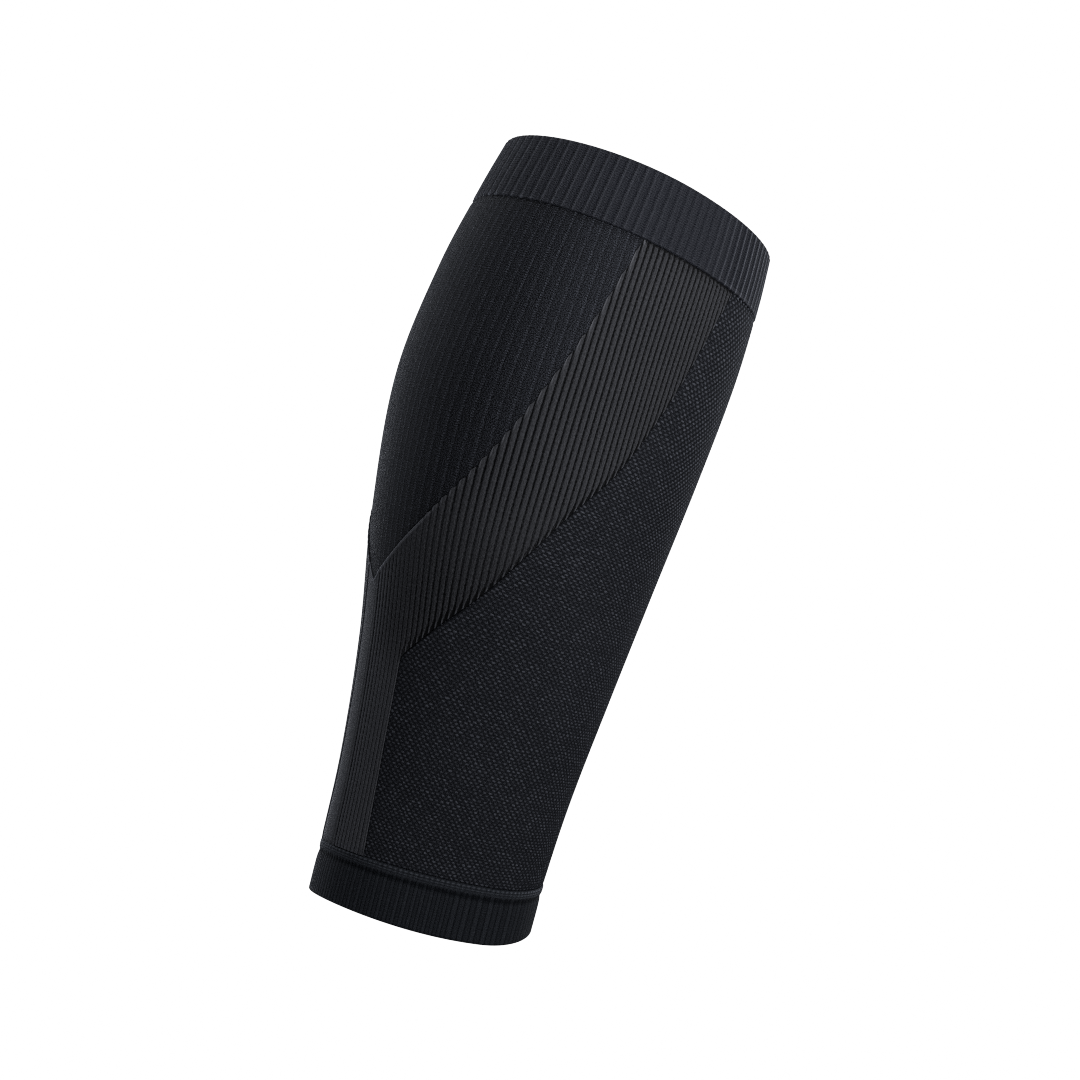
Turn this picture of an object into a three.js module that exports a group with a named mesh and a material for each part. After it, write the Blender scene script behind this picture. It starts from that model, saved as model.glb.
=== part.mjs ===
// Calf compression sleeve, knitted as one tube and held in the shape of a worn leg.
// Millimetres. +Z runs up the leg to the knee, the shin faces -Y, the calf faces +Y,
// and the origin lies on the leg's axis half way up the sleeve.
import * as THREE from 'three';

// Leg sections from ankle to knee. back and front are the reach from the axis to the calf and to the shin,
// slim is the width over the depth, and widest is where the widest point lies, from shin (0) to calf (1).
const legSections = [
  { height: -150, back: 40.0, front: 52.5, slim: 0.84, widest: 0.38 },
  { height: -130, back: 41.5, front: 51.7, slim: 0.84, widest: 0.38 },
  { height: -95, back: 44.7, front: 52.1, slim: 0.85, widest: 0.40 },
  { height: -50, back: 51.7, front: 55.2, slim: 0.87, widest: 0.46 },
  { height: 0, back: 62.6, front: 59.3, slim: 0.89, widest: 0.55 },
  { height: 50, back: 69.2, front: 63.1, slim: 0.92, widest: 0.58 },
  { height: 95, back: 65.9, front: 65.8, slim: 0.93, widest: 0.57 },
  { height: 130, back: 59.4, front: 65.6, slim: 0.93, widest: 0.55 },
  { height: 150, back: 54.8, front: 64.6, slim: 0.93, widest: 0.55 },
];
const halfLength = 150;
const courseTilt = THREE.MathUtils.degToRad(6.5); // lean of the rims, back edges outermost
const lowerRimDip = 5.1; // how far the lower rim hangs at the sides
const upperRimLift = 0.9; // how far the upper rim stands up at the sides

// Where the stitch changes. around is the share of the girth from the back centre line.
const calfLine = [
  { height: -28.5, around: 0 },
  { height: -17, around: 0.0357 },
  { height: 0, around: 0.0805 },
  { height: 22, around: 0.127 },
  { height: 45, around: 0.1587 },
  { height: 70, around: 0.1804 },
  { height: 95, around: 0.1932 },
  { height: 123, around: 0.2045 },
];
const meshLine = [
  { height: -53.5, around: 0.0712 },
  { height: -41, around: 0.1087 },
  { height: -24.6, around: 0.157 },
  { height: -5, around: 0.198 },
  { height: 15, around: 0.233 },
  { height: 37, around: 0.2708 },
  { height: 65, around: 0.2974 },
  { height: 90, around: 0.312 },
  { height: 107, around: 0.3217 },
  { height: 123, around: 0.333 },
];
const topSeam = 123;
const lowSeam = -129.5;
const crotch = meshLine[0].height; // where the two arms of the rib band meet its stem
const stemEdge = meshLine[0].around;
const stemFlareFrom = -70;
const stemFlare = 0.14;

const bodyFace = -0.4; // faces are measured from the leg section, outward positive
const bodyInside = -1.7;
const cuffWall = 2.2;
const seamGap = 0.3;

const ribCount = 148; // ribs that would fill the whole girth
const ribShoulder = 0.16; // share of the pitch from a groove to the flat of the rib
const ribFace = -0.1;
const ribGroove = -0.8;
const stemRibs = 9; // ribs on each side of the stem's plain strip

const cuffColumns = 64;
const panelColours = {
  top_cuff: 0x2c2e33,
  calf_panel: 0x1e1f23,
  rib_band: 0x2e2f33,
  mesh_panel: 0x24262a,
  bottom_cuff: 0x16181c,
};

// Smooth curve through one column of a table, by its height column.
function along(table, column, height) {
  const last = table.length - 1;
  let i = 0;
  while (i < last - 1 && height > table[i + 1].height) i += 1;
  const slope = (k) => {
    const a = table[Math.max(k - 1, 0)];
    const b = table[Math.min(k + 1, last)];
    return (b[column] - a[column]) / (b.height - a.height);
  };
  const low = table[i];
  const high = table[i + 1];
  const span = high.height - low.height;
  const t = (height - low.height) / span;
  const t2 = t * t;
  const t3 = t2 * t;
  return (2 * t3 - 3 * t2 + 1) * low[column] + (t3 - 2 * t2 + t) * span * slope(i)
    + (3 * t2 - 2 * t3) * high[column] + (t3 - t2) * span * slope(i + 1);
}

// A point of the leg section at a height. Angle 0 is the back centre line, a quarter turn is the -X side.
function legPoint(height, angle) {
  const back = along(legSections, 'back', height);
  const front = along(legSections, 'front', height);
  const depth = back + front;
  const middle = along(legSections, 'widest', height) * depth - front;
  const reach = Math.cos(angle) > 0 ? back - middle : front + middle;
  const y = middle + reach * Math.cos(angle);
  const x = -along(legSections, 'slim', height) * depth / 2 * Math.sin(angle);
  const tilt = courseTilt * height / halfLength;
  const nearRim = (way) => THREE.MathUtils.clamp(way * 2 * height / halfLength - 1, 0, 1.1);
  const bow = (upperRimLift * nearRim(1) ** 2 - lowerRimDip * nearRim(-1) ** 2) * Math.sin(angle) ** 2;
  return new THREE.Vector3(x, y * Math.cos(tilt), height + y * Math.sin(tilt) + bow);
}

// Running length round a section, kept for each height that is asked for.
const girthSteps = 240;
const girthTables = new Map();
function girthTable(height) {
  const key = height.toFixed(4);
  if (!girthTables.has(key)) {
    const lengths = [0];
    let before = legPoint(height, 0);
    for (let i = 1; i <= girthSteps; i += 1) {
      const point = legPoint(height, 2 * Math.PI * i / girthSteps);
      lengths.push(lengths[i - 1] + point.distanceTo(before));
      before = point;
    }
    girthTables.set(key, lengths);
  }
  return girthTables.get(key);
}
const girth = (height) => girthTable(height)[girthSteps];

function sleevePoint(around, height) {
  const lengths = girthTable(height);
  const turns = Math.floor(around);
  const target = (around - turns) * lengths[girthSteps];
  let low = 0;
  let high = girthSteps;
  while (high - low > 1) {
    const half = (low + high) >> 1;
    if (lengths[half] <= target) low = half;
    else high = half;
  }
  const step = low + (target - lengths[low]) / (lengths[high] - lengths[low]);
  return legPoint(height, 2 * Math.PI * step / girthSteps);
}

// A point of the sleeve, stood off the leg section along its outward normal.
function faceAt(around, height, stand) {
  const across = sleevePoint(around + 0.002, height).sub(sleevePoint(around - 0.002, height));
  const up = sleevePoint(around, height + 0.5).sub(sleevePoint(around, height - 0.5));
  const outward = across.cross(up).normalize();
  return sleevePoint(around, height).addScaledVector(outward, stand);
}

const stemSpread = (height) => 1 + stemFlare * THREE.MathUtils.clamp((stemFlareFrom - height) / 60, 0, 1) ** 2;
const calfEdge = (height) => along(calfLine, 'around', height);
const meshEdge = (height) => (height < crotch
  ? stemEdge * stemSpread(height)
  : along(meshLine, 'around', height));

// The height at which a line reaches a share of the girth.
function heightOn(edge, around, low, high) {
  let a = low;
  let b = high;
  for (let i = 0; i < 40; i += 1) {
    const half = (a + b) / 2;
    if (edge(half) < around) a = half;
    else b = half;
  }
  return (a + b) / 2;
}

// How far round an edge moves to stand a seam gap away from its line.
function gapAround(edge, height) {
  const size = girth(height);
  const lean = size * (edge(height + 0.5) - edge(height - 0.5));
  return seamGap * Math.hypot(1, lean) / size;
}

function solid(name, positions, triangles) {
  const geometry = new THREE.BufferGeometry();
  geometry.setAttribute('position', new THREE.Float32BufferAttribute(positions, 3));
  geometry.setIndex(triangles);
  geometry.computeVertexNormals();
  const material = new THREE.MeshStandardMaterial({ color: panelColours[name], roughness: 0.85, metalness: 0 });
  material.name = name;
  const mesh = new THREE.Mesh(geometry, material);
  mesh.name = name;
  return mesh;
}

// A wall from quads on the outer face. Each corner has an outer and an inner point,
// and every edge that only one quad uses is closed with a side face.
function wall(name, corners, quads) {
  const positions = [];
  for (const corner of corners) positions.push(...faceAt(corner.around, corner.height, corner.stand).toArray());
  for (const corner of corners) positions.push(...faceAt(corner.around, corner.height, bodyInside).toArray());
  const inside = corners.length;
  const triangles = [];
  const edges = new Map();
  for (const [a, b, c, d] of quads) {
    triangles.push(a, b, c, a, c, d);
    triangles.push(a + inside, c + inside, b + inside, a + inside, d + inside, c + inside);
    for (const [from, to] of [[a, b], [b, c], [c, d], [d, a]]) {
      const twin = `${to},${from}`;
      if (edges.has(twin)) edges.delete(twin);
      else edges.set(`${from},${to}`, [from, to]);
    }
  }
  for (const [from, to] of edges.values()) {
    triangles.push(to, from, from + inside, to, from + inside, to + inside);
  }
  return solid(name, positions, triangles);
}

// A wall laid out as rows of equal count, each row running round between two edges.
function rowWall(name, heights, columns, rowEnds) {
  const corners = [];
  const quads = [];
  for (const height of heights) {
    const [from, to] = rowEnds(height);
    for (let i = 0; i <= columns; i += 1) {
      corners.push({ around: from + (to - from) * i / columns, height, stand: bodyFace });
    }
  }
  const row = columns + 1;
  for (let j = 0; j < heights.length - 1; j += 1) {
    for (let i = 0; i < columns; i += 1) {
      const a = j * row + i;
      quads.push([a, a + 1, a + row + 1, a + row]);
    }
  }
  return wall(name, corners, quads);
}

const steps = (from, to, count) => Array.from({ length: count + 1 }, (_, i) => from + (to - from) * i / count);

function calfPanel() {
  const tip = calfLine[0].height + 1.6;
  const heights = steps(tip, topSeam - seamGap, 13);
  return rowWall('calf_panel', heights, 16, (height) => {
    const half = calfEdge(height) - gapAround(calfEdge, height);
    return [-half, half];
  });
}

function meshPanel() {
  const bend = crotch - seamGap;
  const heights = [
    ...steps(lowSeam + seamGap, bend - 2, 4),
    bend,
    ...steps(bend + 5, topSeam - seamGap, 17),
  ];
  return rowWall('mesh_panel', heights, 28, (height) => {
    const line = height <= bend ? (h) => stemEdge * stemSpread(h) : meshEdge;
    const half = line(height) + gapAround(line, height);
    return [half, 1 - half];
  });
}

// Columns of the rib band on one side, from the plain strip outward: a groove, then the two sides of a rib.
function ribColumns() {
  const pitch = 1 / ribCount;
  const strip = stemEdge - stemRibs * pitch;
  const columns = [{ around: 0, stand: bodyFace }];
  const end = meshEdge(topSeam - 1.2);
  for (let rib = 0; strip + rib * pitch < end; rib += 1) {
    const start = strip + rib * pitch;
    columns.push({ around: start, stand: ribGroove });
    columns.push({ around: start + ribShoulder * pitch, stand: ribFace });
    columns.push({ around: start + (1 - ribShoulder) * pitch, stand: ribFace });
  }
  const kept = columns.filter((column) => column.around < end - 0.0005);
  kept.push({ around: end, stand: bodyFace });
  return kept;
}

function ribBand() {
  const armRows = 3;
  const stemRows = 3;
  const side = ribColumns();
  const columns = [
    ...side.slice(1).reverse().map((c) => ({ around: -c.around, stand: c.stand })),
    ...side,
  ];
  const corners = [];
  const armStart = [];
  const stemStart = [];
  const roof = topSeam - seamGap;
  for (const { around, stand } of columns) {
    const reach = Math.abs(around);
    const inStem = reach < stemEdge + 1e-6;
    const floor = inStem ? crotch : heightOn(meshEdge, reach, crotch, topSeam);
    const ceiling = reach < calfEdge(roof) ? heightOn(calfEdge, reach, calfLine[0].height, topSeam) : roof;
    if (inStem) {
      stemStart.push(corners.length);
      for (const height of steps(lowSeam + seamGap, crotch, stemRows).slice(0, stemRows)) {
        corners.push({ around: around * stemSpread(height), height, stand });
      }
    } else {
      stemStart.push(-1);
    }
    armStart.push(corners.length);
    for (const height of steps(floor, ceiling, armRows)) corners.push({ around, height, stand });
  }
  const quads = [];
  for (let i = 0; i < columns.length - 1; i += 1) {
    const j = i + 1;
    for (let k = 0; k < armRows; k += 1) {
      quads.push([armStart[i] + k, armStart[j] + k, armStart[j] + k + 1, armStart[i] + k + 1]);
    }
    if (stemStart[i] >= 0 && stemStart[j] >= 0) {
      for (let k = 0; k < stemRows; k += 1) {
        const last = k === stemRows - 1;
        const overI = last ? armStart[i] : stemStart[i] + k + 1;
        const overJ = last ? armStart[j] : stemStart[j] + k + 1;
        quads.push([stemStart[i] + k, stemStart[j] + k, overJ, overI]);
      }
    }
  }
  return wall('rib_band', corners, quads);
}

// A cuff from a closed outline of its wall, run round the leg.
function cuff(name, outline) {
  const positions = [];
  const triangles = [];
  const count = outline.length;
  for (let i = 0; i < cuffColumns; i += 1) {
    for (const { stand, height } of outline) {
      positions.push(...faceAt(i / cuffColumns, height, stand).toArray());
    }
  }
  for (let i = 0; i < cuffColumns; i += 1) {
    const here = i * count;
    const next = ((i + 1) % cuffColumns) * count;
    for (let k = 0; k < count; k += 1) {
      const over = (k + 1) % count;
      triangles.push(here + k, next + k, next + over, here + k, next + over, here + over);
    }
  }
  return solid(name, positions, triangles);
}

// The fold at a cuff's rim, from the outer face (0 degrees) over to the inner face (180 degrees).
function rimFold(height, way, degrees) {
  const radius = cuffWall / 2;
  return degrees.map((degree) => {
    const a = THREE.MathUtils.degToRad(degree);
    return { stand: radius * (Math.cos(a) - 1), height: height + way * radius * (Math.sin(a) - 1) };
  });
}

function topCuff() {
  return cuff('top_cuff', [
    { stand: -0.35, height: topSeam },
    { stand: 0, height: topSeam + 0.9 },
    { stand: 0, height: 136 },
    ...rimFold(halfLength, 1, [0, 45, 90, 135, 180]),
    { stand: -cuffWall, height: 136 },
    { stand: -cuffWall, height: topSeam },
  ]);
}

function bottomCuff() {
  return cuff('bottom_cuff', [
    ...rimFold(-halfLength, -1, [180, 135, 90, 45, 0]),
    { stand: 0, height: -141 },
    { stand: 0, height: -134.3 },
    { stand: -0.9, height: -133.4 },
    { stand: -0.1, height: -132.6 },
    { stand: 0.1, height: -131.2 },
    { stand: -0.3, height: lowSeam },
    { stand: -cuffWall + 0.2, height: lowSeam },
    { stand: -cuffWall, height: -141 },
  ]);
}

const sleeve = new THREE.Group();
sleeve.name = 'compression_sleeve';
sleeve.add(topCuff(), calfPanel(), ribBand(), meshPanel(), bottomCuff());

export default sleeve;
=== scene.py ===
import math

import bpy
import numpy as np
from mathutils import Matrix, Vector


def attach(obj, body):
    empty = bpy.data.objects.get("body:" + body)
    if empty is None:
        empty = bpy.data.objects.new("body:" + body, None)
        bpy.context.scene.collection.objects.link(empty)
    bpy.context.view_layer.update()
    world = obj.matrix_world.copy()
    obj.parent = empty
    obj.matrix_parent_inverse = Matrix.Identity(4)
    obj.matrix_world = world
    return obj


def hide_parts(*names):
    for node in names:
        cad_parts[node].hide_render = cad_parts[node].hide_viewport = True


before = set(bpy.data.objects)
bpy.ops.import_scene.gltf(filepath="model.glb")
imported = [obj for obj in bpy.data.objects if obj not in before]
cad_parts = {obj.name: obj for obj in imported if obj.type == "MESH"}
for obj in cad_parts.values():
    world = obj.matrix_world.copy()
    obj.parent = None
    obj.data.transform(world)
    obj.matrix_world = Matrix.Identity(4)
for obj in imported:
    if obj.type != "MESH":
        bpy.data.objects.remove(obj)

scene = bpy.context.scene
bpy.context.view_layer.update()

# Leg form and walls in millimetres: +Z to the knee, -Y to the shin, +Y to the calf.
leg = {
    "sections": np.array([  # height, back reach, front reach, width over depth, widest place from the shin
        (-150, 40.0, 52.5, 0.84, 0.38),
        (-130, 41.5, 51.7, 0.84, 0.38),
        (-95, 44.7, 52.1, 0.85, 0.40),
        (-50, 51.7, 55.2, 0.87, 0.46),
        (0, 62.6, 59.3, 0.89, 0.55),
        (50, 69.2, 63.1, 0.92, 0.58),
        (95, 65.9, 65.8, 0.93, 0.57),
        (130, 59.4, 65.6, 0.93, 0.55),
        (150, 54.8, 64.6, 0.93, 0.55),
    ]),
    "halfLength": 150,
    "courseTilt": math.radians(6.5),
    "lowerRimDip": 5.1,
    "upperRimLift": 0.9,
    "topSeam": 123.0,
    "lowSeam": -129.5,
    "seamGap": 0.02,
    "bodyFace": -0.4,
    "bodyInside": -1.7,
    "cuffWall": 2.2,
    "courseStep": 0.95,
}
calfLine = np.array([  # height, share of the girth from the back centre line
    (-28.5, 0), (-17, 0.0357), (0, 0.0805), (22, 0.127), (45, 0.1587), (70, 0.1804), (95, 0.1932),
    (123, 0.2045),
])
meshLine = np.array([
    (-53.5, 0.0712), (-41, 0.1087), (-24.6, 0.157), (-5, 0.198), (15, 0.233), (37, 0.2708), (65, 0.2974),
    (90, 0.312), (107, 0.3217), (123, 0.333),
])
crotch, stemEdge = meshLine[0]
bodyTop, bodyFoot = leg["topSeam"] - leg["seamGap"], leg["lowSeam"] + leg["seamGap"]
millimetre = 0.001


# 0 up to start, 1 past start + span, eased between them. A negative span runs the other way.
def ramp(value, start, span):
    t = np.clip((value - start) / span, 0, 1)
    return t * t * (3 - 2 * t)


# 1 at the middle, eased down to 0 at the reach on both sides.
def hump(value, middle, reach):
    return ramp(np.abs(value - middle), reach, -reach)


# Straight lines through a table of two columns.
def readOff(table, at):
    return np.interp(at, table[:, 0], table[:, 1])


# Share of the girth from the back centre line, 0.5 at the shin, on either side.
def fromBack(around):
    return 0.5 - np.abs(around - 0.5)


# Curve from one value to the next, with a slope at each.
def cubic(t, first, firstSlope, last, lastSlope):
    t2, t3 = t * t, t * t * t
    return ((2 * t3 - 3 * t2 + 1) * first + (t3 - 2 * t2 + t) * firstSlope
            + (3 * t2 - 2 * t3) * last + (t3 - t2) * lastSlope)


# Smooth curve through one column of a table, by its height column.
def along(table, column, height):
    at, value = table[:, 0], table[:, column]
    slope = np.empty(len(at))
    slope[1:-1] = (value[2:] - value[:-2]) / (at[2:] - at[:-2])
    slope[0] = (value[1] - value[0]) / (at[1] - at[0])
    slope[-1] = (value[-1] - value[-2]) / (at[-1] - at[-2])
    i = np.clip(np.searchsorted(at, height) - 1, 0, len(at) - 2)
    span = at[i + 1] - at[i]
    return cubic((height - at[i]) / span, value[i], span * slope[i], value[i + 1], span * slope[i + 1])


# Angle 0 is the back centre line, a quarter turn is the -X side.
def legPoint(height, angle):
    back, front, slim, widest = (along(leg["sections"], k, height) for k in (1, 2, 3, 4))
    depth = back + front
    middle = widest * depth - front
    reach = np.where(np.cos(angle) > 0, back - middle, front + middle)
    y = middle + reach * np.cos(angle)
    x = -slim * depth / 2 * np.sin(angle)
    tilt = leg["courseTilt"] * height / leg["halfLength"]
    # The courses bow towards both rims.
    low, high = (np.maximum(way * 2 * height / leg["halfLength"] - 1, 0) for way in (-1, 1))
    bow = (leg["upperRimLift"] * high ** 2 - leg["lowerRimDip"] * low ** 2) * np.sin(angle) ** 2
    return np.stack([x, y * np.cos(tilt), height + y * np.sin(tilt) + bow], axis=-1)


tableHeights = np.arange(-153.0, 153.1, 1.5)
tableColumns = 1440


# Angles of even steps round the girth, a row for each height.
def turnTable():
    turn = np.linspace(0, 2 * math.pi, tableColumns + 1)
    rows = []
    for height in tableHeights:
        ring = legPoint(np.full(turn.shape, height), turn)
        steps = np.linalg.norm(np.diff(ring, axis=0), axis=1)
        length = np.concatenate([[0], np.cumsum(steps)])
        rows.append(np.interp(np.linspace(0, length[-1], tableColumns + 1), length, turn))
    return np.array(rows)


turns = turnTable()


# A place on the leg form by its share of the girth and its height.
def sleevePoint(around, height):
    column = (around - np.floor(around)) * tableColumns
    row = (height - tableHeights[0]) / (tableHeights[1] - tableHeights[0])
    i = np.clip(np.floor(column).astype(int), 0, tableColumns - 1)
    j = np.clip(np.floor(row).astype(int), 0, len(tableHeights) - 2)
    u, v = column - i, row - j
    low = turns[j, i] * (1 - u) + turns[j, i + 1] * u
    high = turns[j + 1, i] * (1 - u) + turns[j + 1, i + 1] * u
    return legPoint(height, low * (1 - v) + high * v)


# The same place stood off along the outward normal.
def faceAt(around, height, stand):
    around, height, stand = np.broadcast_arrays(*(np.asarray(a, float) for a in (around, height, stand)))
    sideStep, upStep = 0.002, 0.5
    across = sleevePoint(around + sideStep, height) - sleevePoint(around - sideStep, height)
    up = sleevePoint(around, height + upStep) - sleevePoint(around, height - upStep)
    outward = np.cross(across, up)
    outward /= np.linalg.norm(outward, axis=-1, keepdims=True)
    return sleevePoint(around, height) + outward * stand[..., None]


print("leg form ready,", len(tableHeights), "heights with", tableColumns, "steps round the girth")


def addObject(name, data):
    item = bpy.data.objects.new(name, data)
    scene.collection.objects.link(item)
    return item


# One mesh object from arrays. wale and course are the knit's own coordinates, tone lightens or darkens the
# yarn, and much of it is painted light and shade.
def makePiece(name, points, faces, wale, course, tone, walesRound=None):
    mesh = bpy.data.meshes.new(name)
    mesh.vertices.add(len(points))
    mesh.vertices.foreach_set("co", (points * millimetre).astype(np.float32).ravel())
    corners, starts, maps, total = [], [], [], 0
    for group in faces:
        u, v = wale[group], course[group]
        if walesRound:  # faces that close the ring
            wide = np.ptp(u, axis=1, keepdims=True) > walesRound / 2
            u = u + np.where(wide & (u < walesRound / 2), walesRound, 0)
        size = group.shape[1]
        corners.append(group.ravel())
        starts.append(total + np.arange(len(group)) * size)
        maps.append(np.stack([u.ravel(), v.ravel()], axis=1))
        total += group.size
    starts = np.concatenate(starts)
    mesh.loops.add(total)
    mesh.loops.foreach_set("vertex_index", np.concatenate(corners).astype(np.int32))
    mesh.polygons.add(len(starts))
    mesh.polygons.foreach_set("loop_start", starts.astype(np.int32))
    mesh.update(calc_edges=True)
    knitMap = mesh.uv_layers.new(name="knit")
    knitMap.data.foreach_set("uv", np.concatenate(maps).astype(np.float32).ravel())
    shade = mesh.attributes.new("tone", "FLOAT", "POINT")
    shade.data.foreach_set("value", np.asarray(tone, np.float32))
    mesh.shade_smooth()
    print(name, len(points), "points", sum(len(group) * (group.shape[1] - 2) for group in faces), "triangles")
    return addObject(name, mesh)


# Side faces for every edge of the outer sheet that only one quad uses.
def sideFaces(quads, inside):
    edges = np.concatenate([quads[:, [k, (k + 1) % 4]] for k in range(4)])
    code = edges[:, 0] * inside + edges[:, 1]
    twin = edges[:, 1] * inside + edges[:, 0]
    lone = edges[~np.isin(code, twin)]
    return np.stack([lone[:, 1], lone[:, 0], lone[:, 0] + inside, lone[:, 1] + inside], axis=1)


# Faces between an outer and an inner edge whose points don't pair up.
def zipEdges(outer, inner, outerAt, innerAt):
    faces, i, j = [], 0, 0
    while i < len(outer) - 1 or j < len(inner) - 1:
        if j == len(inner) - 1 or (i < len(outer) - 1 and outerAt[i + 1] <= innerAt[j + 1]):
            faces.append((outer[i + 1], outer[i], inner[j]))
            i += 1
        else:
            faces.append((outer[i], inner[j], inner[j + 1]))
            j += 1
    return np.array(faces)


# A socket that takes part in Python expressions.
class Thread:
    def __init__(self, tree, socket=None):
        self.tree, self.socket = tree, socket

    def add(self, kind, settings=None, sockets=None, out=0):
        node = self.tree.nodes.new("ShaderNode" + kind)
        for name, value in (settings or {}).items():
            setattr(node, name, value)
        for name, value in (sockets or {}).items():
            if isinstance(value, Thread):
                self.tree.links.new(value.socket, node.inputs[name])
            else:
                node.inputs[name].default_value = value
        return Thread(self.tree, node.outputs[out] if node.outputs else None)

    def maths(self, operation, first, second=0.0):
        return self.add("Math", {"operation": operation}, {0: first, 1: second})

    def __add__(self, other):
        return self.maths("ADD", self, other)

    def __radd__(self, other):
        return self.maths("ADD", other, self)

    def __sub__(self, other):
        return self.maths("SUBTRACT", self, other)

    def __rsub__(self, other):
        return self.maths("SUBTRACT", other, self)

    def __mul__(self, other):
        return self.maths("MULTIPLY", self, other)

    def __truediv__(self, other):
        return self.maths("DIVIDE", self, other)

    def __mod__(self, other):
        return self.maths("FLOORED_MODULO", self, other)

    def __abs__(self):
        return self.maths("ABSOLUTE", self)

    def floor(self):
        return self.maths("FLOOR", self)

    def fraction(self):
        return self.maths("FRACT", self)

    def sine(self):
        return self.maths("SINE", self)

    def limit(self, low, high):
        return self.maths("MINIMUM", self.maths("MAXIMUM", self, low), high)

    def rise(self, start, end):  # 0 at start, 1 at end, eased
        return self.add("MapRange", {"interpolation_type": "SMOOTHSTEP"},
                        {"Value": self, "From Min": start, "From Max": end})


# What the yarns share, unless a piece has its own value.
yarnLook = {
    "stitchLean": 0.9, "noiseDetail": 2.0, "noiseRough": 0.6, "fleckEdge": (0.3, 0.7),
    "cloudSize": (0.05, 0.04),
    "fuzz": 0.8, "bump": 0.5, "bumpDepth": 0.0003, "rough": 0.86, "lightSmooth": 0.12, "specular": 0.12,
    "sheen": 0.02, "sheenRough": 0.45,
}


def flecks(thread, knit, stretch):
    place = thread.add("VectorMath", {"operation": "MULTIPLY"}, {0: knit, 1: (*stretch, 1)})
    return thread.add("TexNoise", {"noise_dimensions": "2D"}, {
        "Vector": place, "Scale": 1.0,
        "Detail": yarnLook["noiseDetail"], "Roughness": yarnLook["noiseRough"]})


# The V of a knit stitch: two slanting legs in each wale.
def stitchHeads(wale, course):
    side = abs(wale.fraction() - 0.5)
    lean = (course + side * yarnLook["stitchLean"]).fraction()
    return (lean * math.pi).sine() * (side * 2 * math.pi).sine()


# Rows of beads along a line of stitches.
def beadRow(course):
    return (course * 2 * math.pi).sine() * 0.5 + 0.5


# A fixed chance from 0 to 1 for each cell of the knit.
def chanceAt(thread, column, row=0.0):
    cell = thread.add("CombineXYZ", None, {0: column, 1: row})
    return thread.add("TexWhiteNoise", {"noise_dimensions": "2D"}, {"Vector": cell})


# A yarn finish: tone runs from the dark yarn to the light yarn.
def knitFinish(name, look, pattern):
    yarn = {**yarnLook, **look["yarn"]}
    material = bpy.data.materials.new(name)
    material.use_nodes = True
    material.node_tree.nodes.clear()
    thread = Thread(material.node_tree)
    knit = thread.add("UVMap", {"uv_map": "knit"})
    wale, course = (thread.add("SeparateXYZ", None, {0: knit}, out) for out in (0, 1))
    # the tone attribute carries each piece's painted light and shade
    place = thread.add("Attribute", {"attribute_name": "tone"}, None, "Fac")
    tone, relief = pattern(thread, knit, wale, course, look["pattern"])
    fine = flecks(thread, knit, yarn["fleckSize"]).rise(*yarn["fleckEdge"])
    cloud = flecks(thread, knit, yarn["cloudSize"])
    tone = tone + (fine - 0.5) * yarn["fleck"] + (cloud - 0.5) * yarn["cloud"] + place
    tone = tone.limit(0.0, 1.0)
    colour = thread.add("Mix", {"data_type": "RGBA"},
                        {0: tone, 6: (*yarn["dark"], 1), 7: (*yarn["light"], 1)}, 2)
    height = relief + (fine - 0.5) * yarn["fuzz"]
    normal = thread.add("Bump", None,
                        {"Height": height, "Strength": yarn["bump"], "Distance": yarn["bumpDepth"]})
    cloth = thread.add("BsdfPrincipled", None, {
        "Base Color": colour,
        "Roughness": (yarn["rough"] - tone * yarn["lightSmooth"]).limit(0.0, 1.0),
        "Normal": normal,
        "Specular IOR Level": yarn["specular"],
        "Sheen Weight": yarn["sheen"],
        "Sheen Roughness": yarn["sheenRough"],
    })
    thread.add("OutputMaterial", None, {"Surface": cloth})
    return material


# Where the cuffs meet the body, and their rims. Pairs are a start from the seam or rim, and a span.
seamLook = {
    "loops": 128, "loopDepth": 0.2, "topSink": 0.45, "topFall": (-2.4, 2.1), "lowSink": 0.12,
    "lowFall": (1.1, -0.9), "topShade": (-2.9, 1.6), "rimShade": (-1.0, 0.9),
}


# How far the body's face sinks next to the two cuffs.
def seamSink(around, height):
    depth = seamLook["loopDepth"]
    loops = 1 - depth + depth * np.cos(2 * math.pi * seamLook["loops"] * around)
    return (seamLook["topSink"] * loops * ramp(height - leg["topSeam"], *seamLook["topFall"])
            + seamLook["lowSink"] * ramp(height - leg["lowSeam"], *seamLook["lowFall"]))


# Painted shade: how dark the body gets under the top cuff, and a cuff at its rim.
def seamShade(height):
    return ramp(height - leg["topSeam"], *seamLook["topShade"])


# Painted shade along the outermost rim of a cuff.
def rimShade(height):
    return ramp(np.abs(height) - leg["halfLength"], *seamLook["rimShade"])


# The rounded rim of a cuff, up at the knee and down at the ankle: stand, height, share of the relief.
def rimFold(way, degrees):
    radius = leg["cuffWall"] / 2
    rows = []
    for angle in map(math.radians, degrees):
        height = way * (leg["halfLength"] + radius * (math.sin(angle) - 1))
        rows.append((radius * (math.cos(angle) - 1), height, max(0.0, math.cos(angle))))
    return rows


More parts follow.
